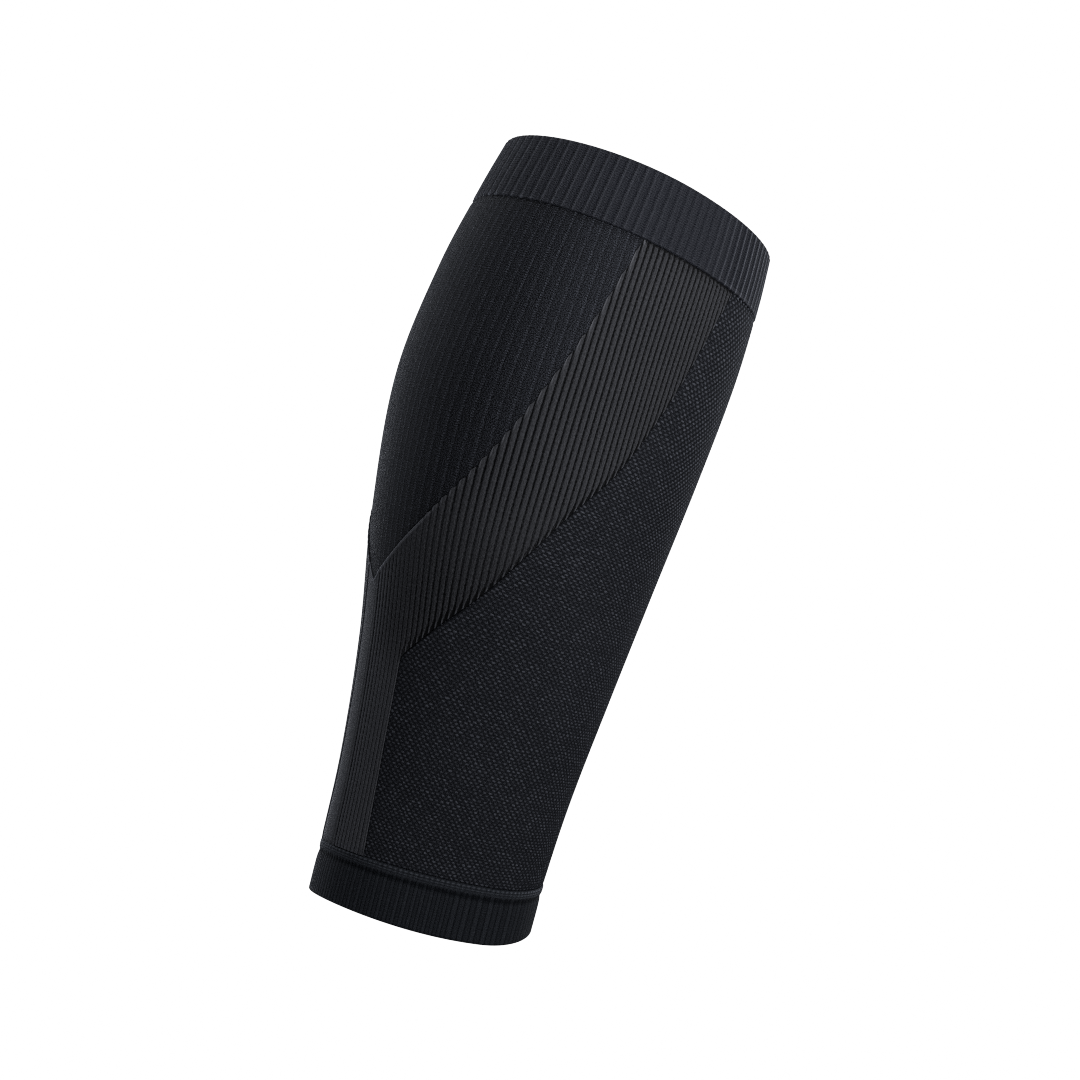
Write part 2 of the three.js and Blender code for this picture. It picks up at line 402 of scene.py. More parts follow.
# A cuff: a closed outline of its wall run round the leg, with its relief. knitAt says which share of the ribs
# lies before a share of the girth.
def makeCuff(name, look, outline, knitAt, relief, toneOf):
    columns = look["ribs"] * look["columnsPerRib"]
    fine = np.linspace(0, 1, 4001)
    knit = np.arange(columns) / columns
    share = np.interp(knit, knitAt(fine), fine)
    stand, height, weight = (np.array(column) for column in zip(*outline))
    around, heights = np.meshgrid(share, height, indexing="ij")
    wale, weights = np.meshgrid(knit * look["ribs"], weight, indexing="ij")
    points = faceAt(around, heights, stand[None, :] + relief(wale, around, heights) * weights)
    here = np.arange(columns)[:, None] * len(stand) + np.arange(len(stand))[None, :]
    over, beside = np.roll(here, -1, axis=1), np.roll(here, -1, axis=0)
    quads = np.stack([here, beside, np.roll(beside, -1, axis=1), over], axis=-1).reshape(-1, 4)
    tone = toneOf(wale, around, heights) * (weights > 0)
    course = heights / leg["courseStep"]
    return makePiece(name, points.reshape(-1, 3), [quads], wale.ravel(), course.ravel(), tone.ravel(),
                     look["ribs"])


# In the settings a pair is a start and a span for ramp, or a middle and a reach for hump. In a pattern it is
# the start and end of a rise.
topCuffLook = {
    "ribs": 84, "columnsPerRib": 16, "crowd": 0.17, "valley": -0.5,
    "foot": [(-1.0, 0, 0), (-0.72, 0.12, 0.3), (-0.53, 0.4, 0.8)],  # stand, rise from the seam, relief
    "faceRises": (0.8, 1.4, 2.2, 4, 7, 10, 13, 16, 19, 22, 24.8),
    "insideRises": (23, 15, 7, 0),
    "ribRise": 0.2, "flank": 0.2, "ridgeAt": 0.32, "ridgeWidth": 0.15, "ridgeRise": 0.17,
    # painted shade in the grooves and at the rim
    "groovePaintedShade": -0.03, "rimPaintedShade": -0.1,
    "paintedGlint": np.array([  # share of the ribs from the back, painted glint: how much lighter the ridges are
        (0, 0.4), (0.06, 0.28), (0.11, 0.22), (0.18, 0.17), (0.22, 0.07), (0.28, 0.04), (0.32, 0.42),
        (0.37, 1.0), (0.5, 1.0),
    ]),
    # painted glint: its width on the ridge, painted shade on the rest of the face, and where it counts as
    # glinting
    "paintedGlintWidth": 0.17, "paintedGlintBase": -0.07, "shiny": (0.25, 0.35),
    "paintedLightByShare": np.array([  # share of the ribs from the back, painted light and shade over the whole face
        (0, 0.036), (0.09, 0.036), (0.13, -0.016), (0.2, -0.022), (0.29, -0.02), (0.34, -0.005),
    ]),
    "edge": (1.2, 1.2), "edgeGap": 0.3, "edgeHighlightAndShade": 0.093, "edgeGlint": 0.5,  # painted highlight along the seam, where the cuff's proud lower edge catches light
    "speck": (0.5, 1.0), "speckWidth": 0.4, "speckShare": 0.1, "speckTurn": 2.4, "speckTone": 1.4,
    "pattern": {
        # the groove darkening is painted shade
        "base": 0.155, "groove": 0.052, "grooveEdge": (0.06, 0.22), "wales": 4, "stitch": 0.08, "bead": 0.08,
    },
    "yarn": {
        "dark": (0.0064, 0.0075, 0.0128), "light": (0.129, 0.137, 0.164), "fleckSize": (9.0, 2.4),
        "fleck": 0.2, "cloud": 0.047, "bumpDepth": 0.0004,
    },
    "flat": (0.29, 0.06), "area": 0.0085,  # relaxed, in metres
}


def makeTopCuff():
    look, seam, valley = topCuffLook, leg["topSeam"], topCuffLook["valley"]
    outline = [(stand, seam + rise, weight) for stand, rise, weight in look["foot"]]
    outline += [(valley, seam + rise, 1) for rise in look["faceRises"]]
    fold = rimFold(1, range(0, 181, 18))
    outline += [(stand + valley * weight, height, weight) for stand, height, weight in fold]
    outline += [(-leg["cuffWall"], seam + rise, 0) for rise in look["insideRises"]]

    # A groove at each whole wale number and a thin ridge next to it.
    def ribs(wale):
        off = (wale + 0.5) % 1 - 0.5
        return off, hump(off, 0, look["flank"]), hump(off, look["ridgeAt"], look["ridgeWidth"])

    def relief(wale, around, height):
        off, groove, ridge = ribs(wale)
        return look["ribRise"] * (1 - groove) + look["ridgeRise"] * ridge

    def toneOf(wale, around, height):
        off, groove, ridge = ribs(wale)
        share = fromBack(wale / look["ribs"])
        rise = height - seam
        # Painted glint on the ridges, stronger towards the shin, with painted shade around it.
        paintedGlint = readOff(look["paintedGlint"], share)
        shiny = ramp(paintedGlint, *look["shiny"])
        light = paintedGlint * hump(off, look["ridgeAt"], look["paintedGlintWidth"]) + look["paintedGlintBase"] * shiny
        edge = hump(rise, *look["edge"]) * (look["edgeGap"] + (1 - look["edgeGap"]) * ridge)
        edge = edge * (look["edgeHighlightAndShade"] + look["edgeGlint"] * shiny)
        # Uneven white specks along the seam at the back.
        specks = hump(off, look["ridgeAt"], look["speckWidth"]) * hump(rise, *look["speck"])
        specks = specks * hump(share, 0, look["speckShare"]) * np.cos(look["speckTurn"] * np.floor(wale)) ** 2
        # Painted shade in the grooves and at the rim, then painted light and shade over the face by share.
        dark = look["groovePaintedShade"] * groove + look["rimPaintedShade"] * rimShade(height)
        return light + edge + look["speckTone"] * specks + dark + readOff(look["paintedLightByShare"], share)

    def knitAt(share):  # closer on the leg's sides
        return share - look["crowd"] * np.sin(4 * math.pi * share) / (4 * math.pi)

    return makeCuff("topCuff", look, outline, knitAt, relief, toneOf)


def topCuffPattern(thread, knit, wale, course, look):
    off = 0.5 - abs(wale.fraction() - 0.5)  # distance from the groove
    # painted shade in the groove
    groove = 1 - off.rise(*look["grooveEdge"])
    stitch = stitchHeads(wale * look["wales"], course)
    tone = look["base"] - groove * look["groove"] + stitch * (look["stitch"] + beadRow(course) * look["bead"])
    return tone, stitch


bottomCuffLook = {
    "ribs": 138, "columnsPerRib": 8,
    "spread": np.array([(0, 0), (0.2213, 0.2758), (0.7787, 0.7242), (1, 1)]),  # share of girth, share of ribs
    "face": [  # stand and rise from the seam, with the gutter below the ridge
        (0, -18.3), (0, -16.5), (0, -14.0), (0, -11.5), (-0.05, -8.7), (-0.12, -7.1), (-0.2, -6.3),
        (-0.3, -5.6), (-0.44, -5.0), (-0.52, -4.4), (-0.44, -3.9), (-0.3, -3.5), (-0.22, -3.2),
    ],
    "ridge": np.arange(-2.9, -0.4, 0.25), "ridgeFoot": -3.15, "ridgeMiddle": -1.6, "ridgeStand": -0.12,
    "ridgeCurve": 0.06,
    "head": [(-0.36, -0.25, 0.5), (-0.5, 0, 0), (-2.0, 0, 0)],  # stand, rise from the seam, relief
    "insideRises": (-6.5, -12.5, -17.5),
    # painted shade in the gutter and at the rim
    "ribRise": 0.1, "gutter": (-4.4, 1.5), "gutterPaintedShade": -0.13, "rimPaintedShade": -0.1, "back": (0.2, -0.1),
    "backTone": 0.014,
    "rows": [(-0.8, 0.76, 0.9), (-1.8, 0.5, 0.6), (-2.7, 0.26, 0.5)],  # rise from the seam, tone, dash depth
    # the rows get a painted highlight towards the shin
    "rowWidth": 0.5, "rowRise": 0.16, "rowGain": 0.8, "shinHighlight": 1.3, "shin": (0.28, 0.14),
    "betweenRows": -0.03, "dashes": 128,
    "pattern": {
        "base": 0.088, "ridge": 0.068, "ridgeEdge": (0.24, 0.48), "vary": 0.03, "pair": 0.05, "valley": 0.066,
        "ribsEnd": (-139.9, -139.3), "wales": 2, "stitch": 0.035, "stitchRelief": 0.6, "ridgeRelief": 0.5,
    },  # ribsEnd in courses
    "yarn": {
        "dark": (0.0036, 0.0048, 0.0074), "light": (0.138, 0.152, 0.182), "fleckSize": (5.0, 2.4),
        "fleck": 0.085, "cloud": 0.025,
    },
    "flat": (0.21, 0.042), "area": 0.0050,
}


def makeBottomCuff():
    look, seam = bottomCuffLook, leg["lowSeam"]
    outline = rimFold(-1, range(180, -1, -18))
    outline += [(stand, seam + rise, 1) for stand, rise in look["face"]]
    for rise in look["ridge"]:
        stand = look["ridgeStand"] - look["ridgeCurve"] * (rise - look["ridgeMiddle"]) ** 2
        outline.append((stand, seam + rise, 1))
    outline += [(stand, seam + rise, weight) for stand, rise, weight in look["head"]]
    outline += [(-leg["cuffWall"], seam + rise, 0) for rise in look["insideRises"]]

    # Dashed rows of stitches along the ridge, with a painted highlight towards the shin.
    def rows(around, rise):
        dash = 0.5 + 0.5 * np.cos(2 * math.pi * around * look["dashes"])
        gain = look["rowGain"] + look["shinHighlight"] * ramp(fromBack(around), *look["shin"])
        raised, light = 0, 0
        for at, tone, depth in look["rows"]:
            row = hump(rise, at, look["rowWidth"])
            raised = raised + row
            light = light + row * tone * (1 - depth + depth * dash)
        return raised, light * gain

    def relief(wale, around, height):
        wave = 0.5 + 0.5 * np.cos(2 * math.pi * wale)
        raised, light = rows(around, height - seam)
        onRidge = height - seam > look["ridgeFoot"]
        return np.where(onRidge, look["rowRise"] * raised, look["ribRise"] * wave)

    def toneOf(wale, around, height):
        rise = height - seam
        raised, light = rows(around, rise)
        between = (rise > look["ridgeFoot"]) * (1 - raised)
        # Painted shade in the gutter and at the rim.
        return (light + look["betweenRows"] * between
                + look["gutterPaintedShade"] * hump(rise, *look["gutter"])
                + look["rimPaintedShade"] * rimShade(height)
                + look["backTone"] * ramp(fromBack(around), *look["back"]))

    def knitAt(share):  # finer ribs over the back half
        return readOff(look["spread"], share)

    return makeCuff("bottomCuff", look, outline, knitAt, relief, toneOf)


def bottomCuffPattern(thread, knit, wale, course, look):
    rib = (wale + 0.5).floor()
    ridge = 1 - abs((wale + 0.5).fraction() - 0.5).rise(*look["ridgeEdge"])
    ribbed = 1 - course.rise(*look["ribsEnd"])  # the ribs end below the ridge
    pair = rib % 2.0  # every second rib is lighter
    lift = look["ridge"] + chanceAt(thread, rib) * look["vary"] + pair * look["pair"]
    stitch = stitchHeads(wale * look["wales"], course)
    tone = look["base"] + (ridge * lift - look["valley"]) * ribbed + stitch * look["stitch"]
    return tone, stitch * look["stitchRelief"] + ridge * look["ridgeRelief"]


# Ribs are numbered from the back.
ribLook = {
    "count": 52, "columnsPerRib": 10, "topClear": 0.6, "edgeClear": 0.04,
    "strip": [-1, -0.7, -0.4, -0.15], "stripWales": 1.7, "farStrip": 2.0, "stripFlank": 0.25,
    "rows": (10, 22, 5), "rowSpans": (5.0, 2.0), "stemRows": 26,
    "face": -0.05, "groove": -0.55, "backFlank": 0.32, "frontFlank": 0.26,
    "endLength": 4.6, "endWidth": 0.55, "endStart": (-0.5, 1.0), "head": (-0.1, -1.3), "headLeft": 0.25,
    "faint": np.array([(0, 0.85), (3, 0.75), (6, 0.5), (9, 0.45), (15, 1)]),  # rib number, groove left
    "flareFrom": -70, "flareSpan": 60, "flare": 0.14, "flareRib": 6,  # the stem widens to the ankle
    "outerEdge": (-0.45, 0.2), "outerTone": 0.07,
    "stairs": (9, 5), "riser": 0.4, "riserWidth": 0.45, "lastStep": 16, "lineReach": 2.0,
    # the welt along the calf line carries a painted highlight
    "weltAt": 0.75, "weltWidth": 1.05, "weltRise": 0.3, "weltHighlight": 0.55,
    # painted highlight on the rib tips along the calf line and on the rib ends
    "tip": (0.3, 0.25), "tipHighlightAndShade": 0.8, "riserLight": (-1.0, 1.5), "tailLength": 3.0, "tailShare": 0.6,
    # painted light on the side of each rib that the light falls on
    "paintedSideLight": 0.19, "slopeDip": 0.8, "slopeDipAt": (-18, 45),
    "stemPaintedSideLight": 0.1, "stemSlopeFrom": (-40, -20),
    # painted shade in the grooves, weaker in the low part, and on the rib tops there
    "groovePaintedShade": -0.34, "lowPart": (-8, 32), "lowGroove": 0.55, "lowTopPaintedShade": -0.045,
    # painted light on the stem
    "stemPaintedLight": 0.11, "stemFrom": (-42, -20), "stemInner": (5, -4), "stemFade": (15, -10),
    # painted shade at the rib ends and under the top cuff; the strip's tone is its own
    "stripTone": -0.19, "stripFade": (2, -2), "endPaintedShade": -0.14, "seamPaintedShade": -0.1,
    # painted shade on the lower arm and towards the top
    "lowPaintedShade": -0.09, "lowBelow": (15, -40), "lowAbove": (-72, 24), "lowRibs": (1, 6),
    "highPaintedShade": -0.03, "highFrom": (40, 50),
    "pattern": {"base": 0.36, "stitch": 0.035, "relief": 0.08},
    "yarn": {
        "dark": (0.0034, 0.0036, 0.0045), "light": (0.148, 0.153, 0.174), "fleckSize": (6.0, 0.9),
        "fleck": 0.23, "cloudSize": (0.08, 0.04), "cloud": 0.05, "fuzz": 0.3, "bump": 0.35,
        "rough": 0.84,
    },
    "flat": (0.21, 0.252), "area": 0.0185,
}
ribRun = np.array([  # height, then the share of the girth at grooves 0, 10, 20, 30, 40 and 50
    (-130, 0.0172, 0.0842, 0.1515, 0.2225, 0.2972, 0.3737),
    (-95, 0.0135, 0.0794, 0.1486, 0.2212, 0.2953, 0.3699),
    (-60, 0.0115, 0.0765, 0.1463, 0.2206, 0.2935, 0.3654),
    (-30, 0.0095, 0.0734, 0.1466, 0.2209, 0.2917, 0.3604),
    (0, 0.0085, 0.0696, 0.1483, 0.2207, 0.2893, 0.3539),
    (30, 0.0085, 0.0712, 0.1504, 0.2208, 0.2861, 0.3465),
    (60, 0.0090, 0.0749, 0.1503, 0.2171, 0.2792, 0.3389),
    (90, 0.0100, 0.0776, 0.1475, 0.2099, 0.2718, 0.3332),
    (123, 0.0117, 0.0792, 0.1434, 0.2035, 0.2673, 0.3287),
])
ribsPerColumn = 10  # ribs from one column of that table to the next
beyondTop = 200.0  # height given to a rib line that meets no border
farOff = 99.0  # distance from a border that isn't near


# Where a rib line runs. Numbers from -1 to 0 are the plain strip down the back.
def ribShare(number, height):
    number, height = np.broadcast_arrays(np.asarray(number, float), np.asarray(height, float))
    knots = np.stack([along(ribRun, k, height) for k in range(1, ribRun.shape[1])], axis=-1)
    slopes = np.gradient(knots, axis=-1)
    step = np.maximum(number, 0) / ribsPerColumn
    i = np.clip(np.floor(step).astype(int), 0, knots.shape[-1] - 2)

    def pick(table, k):
        return np.take_along_axis(table, (i + k)[..., None], axis=-1)[..., 0]

    share = cubic(step - i, pick(knots, 0), pick(slopes, 0), pick(knots, 1), pick(slopes, 1))
    return np.where(number < 0, knots[..., 0] * (1 + number), share)


# Height where each rib line crosses the calf line or the mesh line.
def crossing(numbers, line):
    heights = np.linspace(line[0, 0], leg["topSeam"], 700)
    gaps = along(line, 1, heights)[None, :] - ribShare(numbers[:, None], heights[None, :])
    return np.array([np.interp(0, gap, heights, right=beyondTop) for gap in gaps])


fineNumbers = np.linspace(-1, ribLook["count"], 40 * (ribLook["count"] + 1) + 1)
calfCrossings, meshCrossings = crossing(fineNumbers, calfLine), crossing(fineNumbers, meshLine)
stemRibs = float(np.interp(stemEdge, ribShare(fineNumbers, crotch), fineNumbers))
print("rib lines ready,", round(stemRibs, 1), "ribs on each side of the stem")


def calfHeight(number):
    return np.interp(number, fineNumbers, calfCrossings)


def meshHeight(number):
    return np.interp(number, fineNumbers, meshCrossings)


# The mesh panel's edge as a share of the girth, along the stem and then along the arm.
def meshEdge(height):
    drop = np.clip((ribLook["flareFrom"] - height) / ribLook["flareSpan"], 0, 1)
    return np.where(height < crotch, stemEdge * (1 + ribLook["flare"] * drop ** 2),
                    along(meshLine, 1, np.maximum(height, crotch)))


# 0 by the tip of the calf panel, where the line is straight, 1 where it climbs in steps.
def ribStairs(number):
    return ramp(number, *ribLook["stairs"])


# The whole rib that a number lies on, and how far across it.
def ribPhase(number):
    whole = np.floor(number + 1e-6)
    return whole, number - whole


# The calf line as the knit makes it: up along a rib's back edge, then over the rib's rounded tip.
def calfStep(number):
    whole, phase = ribPhase(number)
    low, high = calfHeight(whole), calfHeight(whole + 1)
    high = np.where(high > leg["halfLength"], low + ribLook["lastStep"], high)
    step = ribLook["riser"] * ramp(phase, 0, ribLook["riserWidth"]) + (1 - ribLook["riser"]) * phase
    step = phase + (step - phase) * ribStairs(whole)
    climbed = np.where(low > leg["halfLength"], beyondTop, low + (high - low) * step)
    return np.where(number < 0, calfHeight(number), climbed)


# Columns of the body's panels on one side, with one on the edge of the stem.
def ribNumbers():
    numbers = np.arange(ribLook["count"] * ribLook["columnsPerRib"]) / ribLook["columnsPerRib"]
    numbers = numbers[np.abs(numbers - stemRibs) > ribLook["edgeClear"]]
    numbers = np.sort(np.concatenate([ribLook["strip"], numbers, [stemRibs]]))
    return numbers[meshHeight(numbers) < leg["topSeam"] - ribLook["topClear"]]


def inStem(number):
    return number < stemRibs + 1e-6


# The outermost rib of the stem, along the mesh panel.
def stemBorder(number, height):
    return ramp(number - stemRibs, *ribLook["outerEdge"]) * inStem(number) * (height < crotch)


# Share of the rib's height at a place: 0 in a groove, 1 on a rib or next to the smooth borders.
def ribForm(number, height, rise, drop):
    look = ribLook
    whole, phase = ribPhase(number)
    front = look["endWidth"] + (1 - look["endWidth"]) * ramp(rise, 0, look["endLength"])
    rib = np.minimum(ramp(phase, 0, look["backFlank"]), ramp(phase, front, -look["frontFlank"]))
    rib = rib * ramp(rise, *look["endStart"])
    head = ramp(height - leg["topSeam"], *look["head"])
    rib = rib * (look["headLeft"] + (1 - look["headLeft"]) * head)  # rounded tips under the cuff
    nearLine = hump(drop, 0, look["lineReach"]) * (1 - ribStairs(whole))
    rib = np.maximum(np.maximum(rib, nearLine), stemBorder(number, height))
    return 1 - (1 - rib) * readOff(look["faint"], number)


# Stand and tone of the rib band's face; most of the tone is painted light and shade. rise is the height above
# the mesh line, drop the depth below the calf line.
def ribFace(number, way, height, rise, drop):
    look = ribLook
    number, way, height, rise, drop = np.broadcast_arrays(number, way, height, rise, drop)
    whole, phase = ribPhase(number)
    stairs = ribStairs(whole)
    rib = ribForm(number, height, rise, drop)
    plain = ramp(number, np.where(way < 0, look["farStrip"], 0), -look["stripFlank"])
    welt = hump(drop, look["weltAt"], look["weltWidth"]) * (1 - stairs)
    stand = look["groove"] + (look["face"] - look["groove"]) * rib
    stand = stand * (1 - plain) + leg["bodyFace"] * plain + look["weltRise"] * welt

    above = height - calfHeight(np.maximum(whole, 0))  # where the rib's back edge meets the calf panel
    # riser and tail mark where the rib tips and rib ends get a painted highlight
    riser = ramp(above, *look["riserLight"]) * stairs
    tail = hump(rise, 0, look["tailLength"])
    # low marks where the painted groove shade is weaker and the rib tops get painted shade; stem marks where
    # the stem gets painted light
    low = hump(height, *look["lowPart"])
    stem = np.maximum(ramp(height, *look["stemFrom"]), ramp(number, *look["stemInner"]))
    # Painted light on the side of each rib that the light falls on.
    slope = (look["paintedSideLight"] * (1 - look["slopeDip"] * hump(height, *look["slopeDipAt"]))
             + look["stemPaintedSideLight"] * ramp(height, *look["stemSlopeFrom"]))
    # lowArm marks where the lower arm gets painted shade
    lowArm = ramp(height, *look["lowBelow"]) * ramp(height, *look["lowAbove"])
    lowArm = lowArm * ramp(number, *look["lowRibs"])
    ended = ramp(rise, 0, look["endLength"])
    # Painted light and shade make up most of this tone: groove shade, highlights on welt, tips and ends, the
    # lit side of each rib, light on the stem, shade at the rib ends, on the lower arm, towards the top and
    # under the cuff.
    tone = (look["groovePaintedShade"] * (1 - look["lowGroove"] * low) * (1 - rib) * (1 - plain)
            + look["lowTopPaintedShade"] * low * rib * stairs
            + look["weltHighlight"] * welt
            + look["tipHighlightAndShade"] * hump(phase, *look["tip"]) * (riser + look["tailShare"] * tail)
            + slope * (phase - 0.5) * (1 - plain)
            + look["stemPaintedLight"] * ramp(number, *look["stemFade"]) * stem
            + look["outerTone"] * stemBorder(number, height)
            + look["stripTone"] * ramp(number, *look["stripFade"])
            + look["endPaintedShade"] * (1 - ended) * (1 - rib)
            + look["lowPaintedShade"] * lowArm
            + look["highPaintedShade"] * ramp(height, *look["highFrom"])
            + look["seamPaintedShade"] * seamShade(height))
    return stand, tone


# Heights from a low edge to a high edge, closer by the edges, one line for each column. The close rows take
# mostShares of the length at most.
def bandRows(low, high, counts, spans, mostShares=(0.4, 0.2)):
    length = high - low
    lowPart, highPart = (np.minimum(span, most * length) for span, most in zip(spans, mostShares))
    steps = [np.linspace(0, 1, count + 1) for count in counts]
    rows = [low + lowPart * t for t in steps[0][:-1]]
    rows += [low + lowPart + (length - lowPart - highPart) * t for t in steps[1][:-1]]
    rows += [high - highPart + highPart * t for t in steps[2]]
    return np.array(rows).T


# Quads over a grid of point numbers, a line for each column.
def gridQuads(grid):
    a, b = grid[:-1], grid[1:]
    return np.stack([a[:, :-1], b[:, :-1], b[:, 1:], a[:, 1:]], axis=-1).reshape(-1, 4)


# A body panel from its outer face, with its inside and the walls along its edges.
def closedSheet(name, around, height, stand, quads, wale, tone):
    count = len(around)
    points = np.concatenate([faceAt(around, height, stand), faceAt(around, height, leg["bodyInside"])])
    faces = np.concatenate([quads, quads[:, ::-1] + count, sideFaces(quads, count)])
    return makePiece(name, points, [faces], np.tile(wale, 2), np.tile(height / leg["courseStep"], 2),
                     np.concatenate([tone, np.zeros(count)]))


# Both halves of the leg, from one edge over the back centre line to the other.
def bothSides(side):
    return np.concatenate([side[:0:-1], side]), np.concatenate([-np.ones(len(side) - 1), np.ones(len(side))])


def makeRibBand():
    look = ribLook
    numbers, way = bothSides(ribNumbers())
    lowEdge = np.where(inStem(numbers), crotch, meshHeight(numbers))
    highEdge = np.minimum(calfStep(numbers) - leg["seamGap"], bodyTop)
    armRows = bandRows(lowEdge, highEdge, look["rows"], look["rowSpans"])
    armNumbers = np.repeat(numbers[:, None], armRows.shape[1], axis=1)
    armAround = way[:, None] * ribShare(armNumbers, armRows)
    rise = np.where(inStem(numbers)[:, None], farOff, armRows - lowEdge[:, None])
    drop = np.where(highEdge[:, None] < bodyTop - leg["seamGap"] / 2, highEdge[:, None] - armRows, farOff)
    armStand, armTone = ribFace(armNumbers, way[:, None], armRows, rise, drop)
    armGrid = np.arange(armRows.size).reshape(armRows.shape)

    # The stem hangs from the lowest row between the arms.
    columns = np.flatnonzero(inStem(numbers))
    heights = np.linspace(bodyFoot, crotch, look["stemRows"] + 1)[:-1]
    stemNumbers, stemRows = np.meshgrid(numbers[columns], heights, indexing="ij")
    spread = meshEdge(heights) / ribShare(stemRibs, heights)
    spread = 1 + (spread[None, :] - 1) * ramp(stemNumbers, look["flareRib"], stemRibs - look["flareRib"])
    stemAround = way[columns][:, None] * ribShare(stemNumbers, stemRows) * spread
    stemStand, stemPaintedLight = ribFace(stemNumbers, way[columns][:, None], stemRows, farOff, farOff)
    stemGrid = armGrid.size + np.arange(stemRows.size).reshape(stemRows.shape)
    stemGrid = np.concatenate([stemGrid, armGrid[columns][:, :1]], axis=1)

    pairs = [(armAround, stemAround), (armRows, stemRows), (armStand, stemStand), (armNumbers, stemNumbers),
             (armTone, stemPaintedLight)]
    around, height, stand, wale, tone = (np.concatenate([arm.ravel(), stem.ravel()]) for arm, stem in pairs)
    quads = np.concatenate([gridQuads(armGrid), gridQuads(stemGrid)])
    return closedSheet("ribBand", around, height, stand - seamSink(around, height), quads,
                       np.where(wale < 0, wale * look["stripWales"], wale), tone)


def ribPattern(thread, knit, wale, course, look):
    stitch = stitchHeads(wale, course)
    return look["base"] + stitch * look["stitch"], stitch * look["relief"]


calfLook = {
    "walesPerRib": 0.62, "stripWales": 1.5, "waleRise": 0.05, "waleFlank": 0.2, "topClear": 0.2,
    "rows": (5, 30, 6), "rowSpans": (2.0, 2.4),
    # painted shade next to the rib band's steps and under the top cuff
    "lineSink": 0.1, "sinkReach": 1.0, "linePaintedShade": -0.12, "lineReach": 3.0, "seamPaintedShade": -0.14,
    # painted shade towards the panel's tip and painted light towards its sides
    "tipHighlightAndShade": -0.12, "tipFrom": (30, -50), "sidePaintedLight": 0.042, "sideFrom": (0.11, 0.06),
    "pattern": {
        "base": 0.137, "line": 0.045, "lineEdge": (0.04, 0.17), "bead": 0.1, "vary": 0.42, "dip": 0.085,
        "dipAt": 0.25, "dipEdge": (0.04, 0.16), "wales": 4, "stitch": 0.168, "stitchRelief": 0.6,
    },
    "yarn": {
        "dark": (0.0055, 0.0059, 0.0079), "light": (0.087, 0.095, 0.119), "fleckSize": (9.0, 2.4),
        "fleck": 0.68, "cloud": 0.06,
    },
    "flat": (0.125, 0.152), "area": 0.0135,
}


def makeCalfPanel():
    look = calfLook
    side = ribNumbers()
    numbers, way = bothSides(side[calfStep(side) + leg["seamGap"] < bodyTop - look["topClear"]])
    lowEdge = calfStep(numbers) + leg["seamGap"]
    rows = bandRows(lowEdge, np.full(lowEdge.shape, bodyTop), look["rows"], look["rowSpans"])
    wale = np.where(numbers < 0, look["stripWales"] * numbers, numbers) * look["walesPerRib"]
    numbers, wale = (np.repeat(values[:, None], rows.shape[1], axis=1) for values in (numbers, wale))
    around = way[:, None] * ribShare(numbers, rows)
    rise = rows - lowEdge[:, None]
    off = (wale + 0.5) % 1 - 0.5
    stand = (leg["bodyFace"] + look["waleRise"] * hump(off, 0, look["waleFlank"]) - seamSink(around, rows)
             - look["lineSink"] * hump(rise, 0, look["sinkReach"]))
    # Painted shade by the rib band's steps, under the cuff and towards the tip, and painted light towards the
    # sides.
    tone = (look["linePaintedShade"] * hump(rise, 0, look["lineReach"])
            + look["seamPaintedShade"] * seamShade(rows)
            + look["tipHighlightAndShade"] * ramp(rows, *look["tipFrom"])
            + look["sidePaintedLight"] * ramp(np.abs(around), *look["sideFrom"]))
    quads = gridQuads(np.arange(rows.size).reshape(rows.shape))
    return closedSheet("calfPanel", around.ravel(), rows.ravel(), stand.ravel(), quads, wale.ravel(),
                       tone.ravel())


# The panel's light lines: single stitches, each with its own chance of catching the light.
def calfPattern(thread, knit, wale, course, look):
    phase = wale.fraction()
    line = 1 - (0.5 - abs(phase - 0.5)).rise(*look["lineEdge"])
    dip = 1 - abs(phase - look["dipAt"]).rise(*look["dipEdge"])
    beads = beadRow(course)
    chance = chanceAt(thread, (wale + 0.5).floor(), course.floor())
    stitch = stitchHeads(wale * look["wales"], course)
    light = line * (look["line"] + beads * (look["bead"] + chance * look["vary"]))
    tone = look["base"] + light - dip * look["dip"] + stitch * look["stitch"]
    return tone, stitch * look["stitchRelief"] + line * beads


